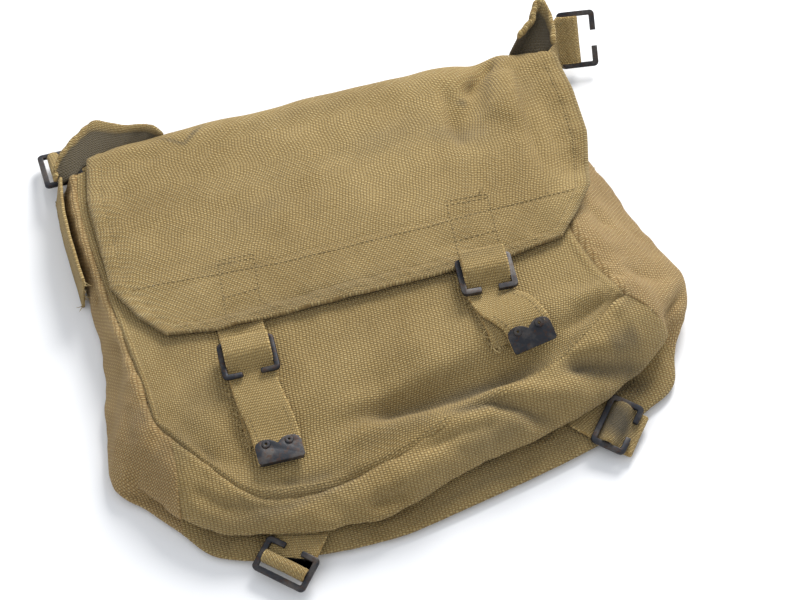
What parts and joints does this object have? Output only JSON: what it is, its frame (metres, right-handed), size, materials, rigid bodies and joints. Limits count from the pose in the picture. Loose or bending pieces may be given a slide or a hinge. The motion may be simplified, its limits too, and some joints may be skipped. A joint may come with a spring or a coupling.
{
  "type": "haversack",
  "caption": "Flat canvas haversack lying on its back, its flap strapped down over the front with open-prong buckles and webbing tabs at the corners.",
  "frame": {"origin": "underside of the back panel, at its middle across the bag, on the surface the bag lies on", "axes": "+X to the right of someone who faces the front, +Y from the bottom to the mouth, +Z out of the front"},
  "size_m": [0.368, 0.3535, 0.0543],
  "materials": {
    "canvas": "coarse khaki cotton duck, faded and dirty",
    "shaded_canvas": "the same duck, browner on the sides and bottom",
    "webbing": "woven cotton webbing",
    "steel": "dark worn paint on steel"
  },
  "bodies": {
    "root": {"back_and_flap": "canvas", "front_panel": "canvas", "ear_left": "canvas", "ear_right": "canvas", "bottom_panel": "shaded_canvas", "gusset_left": "shaded_canvas", "gusset_right": "shaded_canvas", "buckle_chape_left": "webbing", "buckle_chape_right": "webbing", "flap_strap_left": "webbing", "flap_strap_right": "webbing", "side_web_left": "webbing", "top_tab_left": "webbing", "top_tab_right": "webbing", "bottom_tab_left": "webbing", "bottom_tab_right": "webbing", "front_buckle_left": "steel", "front_buckle_right": "steel", "top_buckle_left": "steel", "top_buckle_right": "steel", "bottom_buckle_left": "steel", "bottom_buckle_right": "steel", "strap_tip_left": "steel", "strap_tip_right": "steel", "tip_rivet_left_1": "steel", "tip_rivet_left_2": "steel", "tip_rivet_right_1": "steel", "tip_rivet_right_2": "steel"}
  },
  "joints": []
}
